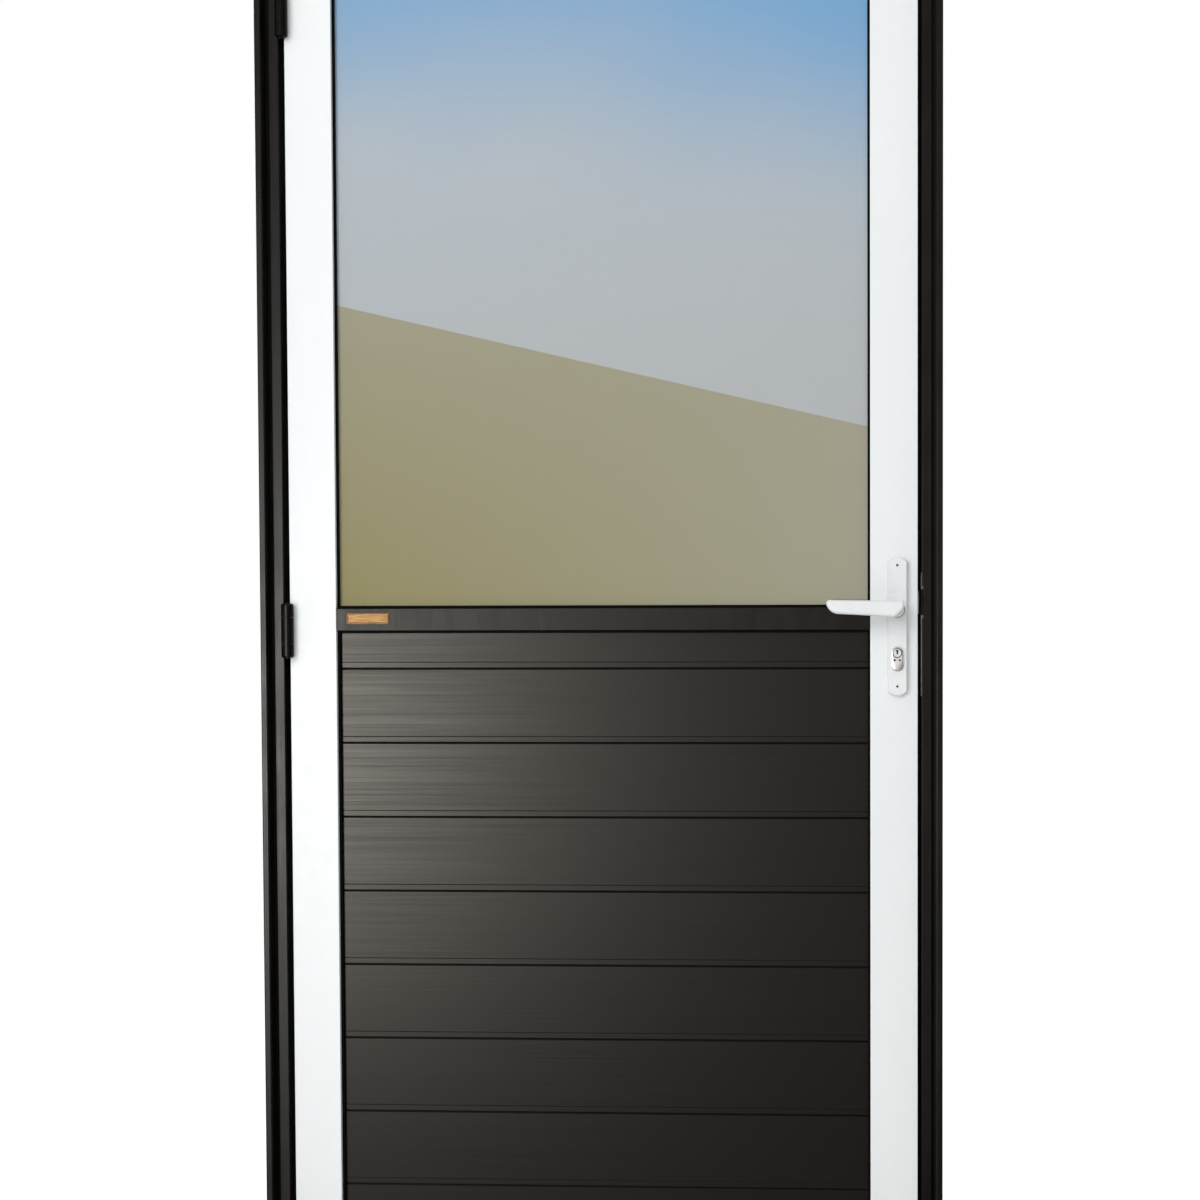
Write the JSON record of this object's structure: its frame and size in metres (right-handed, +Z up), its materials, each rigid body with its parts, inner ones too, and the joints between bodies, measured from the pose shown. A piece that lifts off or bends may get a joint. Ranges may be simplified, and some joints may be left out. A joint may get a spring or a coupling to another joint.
{
  "type": "half-glazed aluminium door with frame",
  "caption": "Hinged aluminium door in its frame: glazed above, horizontal planks below, white stiles, lever handle on a long plate and barrel hinges.",
  "frame": {"origin": "on the hinge jamb's outer side face, at the floor line, in the plane of the leaf's outer face", "axes": "+X from the hinge side to the lock side, +Y from outside to inside, +Z up"},
  "size_m": [0.9, 0.154, 2.1],
  "materials": {
    "charcoal_coat": "matte charcoal powder coat on aluminium",
    "bronze_grain_coat": "charcoal bronze coat with a fine brushed grain",
    "white_coat": "satin white powder coat on aluminium",
    "white_fittings": "satin white coat on die-cast zinc",
    "black_rubber": "matte black gasket rubber",
    "black_hinge_coat": "satin black coat on steel",
    "hinge_steel": "satin black steel pin",
    "clear_glass": "clear polished float glass",
    "satin_steel": "satin stainless steel",
    "dark_keep_steel": "dull darkened steel",
    "zinc_case": "zinc-plated steel",
    "satin_nickel": "satin nickel plate on brass"
  },
  "bodies": {
    "frame": {"hinge_jamb": "charcoal_coat", "lock_jamb": "charcoal_coat", "head": "charcoal_coat", "sill": "charcoal_coat", "frame_seal": "black_rubber", "strike_plate": "dark_keep_steel", "bottom_hinge_frame_leaf": "black_hinge_coat", "middle_hinge_frame_leaf": "black_hinge_coat", "top_hinge_frame_leaf": "black_hinge_coat", "bottom_hinge_pin": "hinge_steel", "middle_hinge_pin": "hinge_steel", "top_hinge_pin": "hinge_steel"},
    "leaf": {"hinge_stile": "white_coat", "lock_stile": "white_coat", "top_rail": "white_coat", "mid_rail": "charcoal_coat", "bottom_rail": "white_coat", "glass_pane": "clear_glass", "glass_gasket_front": "black_rubber", "glass_gasket_back": "black_rubber", "glass_beads": "charcoal_coat", "panel_gasket_front": "black_rubber", "panel_gasket_back": "black_rubber", "panel_beads": "charcoal_coat", "plank_01": "bronze_grain_coat", "plank_02": "bronze_grain_coat", "plank_03": "bronze_grain_coat", "plank_04": "bronze_grain_coat", "plank_05": "bronze_grain_coat", "plank_06": "bronze_grain_coat", "plank_07": "bronze_grain_coat", "plank_08": "bronze_grain_coat", "plank_09": "bronze_grain_coat", "plank_10": "bronze_grain_coat", "bottom_hinge_door_leaf": "black_hinge_coat", "middle_hinge_door_leaf": "black_hinge_coat", "top_hinge_door_leaf": "black_hinge_coat", "outside_plate": "white_fittings", "inside_plate": "white_fittings", "lock_cylinder": "satin_nickel", "lock_case": "zinc_case", "lock_faceplate": "satin_steel", "latch_bolt": "satin_steel"},
    "handle": {"outside_lever": "white_fittings", "inside_lever": "white_fittings", "spindle": "satin_steel"}
  },
  "joints": [
    {"name": "leaf_swing", "type": "hinge", "parent": "frame", "child": "leaf", "pos_m": [0.0341, -0.0092, 1.05], "axis": [0, 0, -1], "range_deg": [0, 110]},
    {"name": "handle_turn", "type": "hinge", "parent": "leaf", "child": "handle", "pos_m": [0.8409, 0.022, 1.0757], "axis": [0, -1, 0], "range_deg": [0, 40], "stiffness_Nm_per_rad": 1.5, "springref_deg": -14.32}
  ]
}
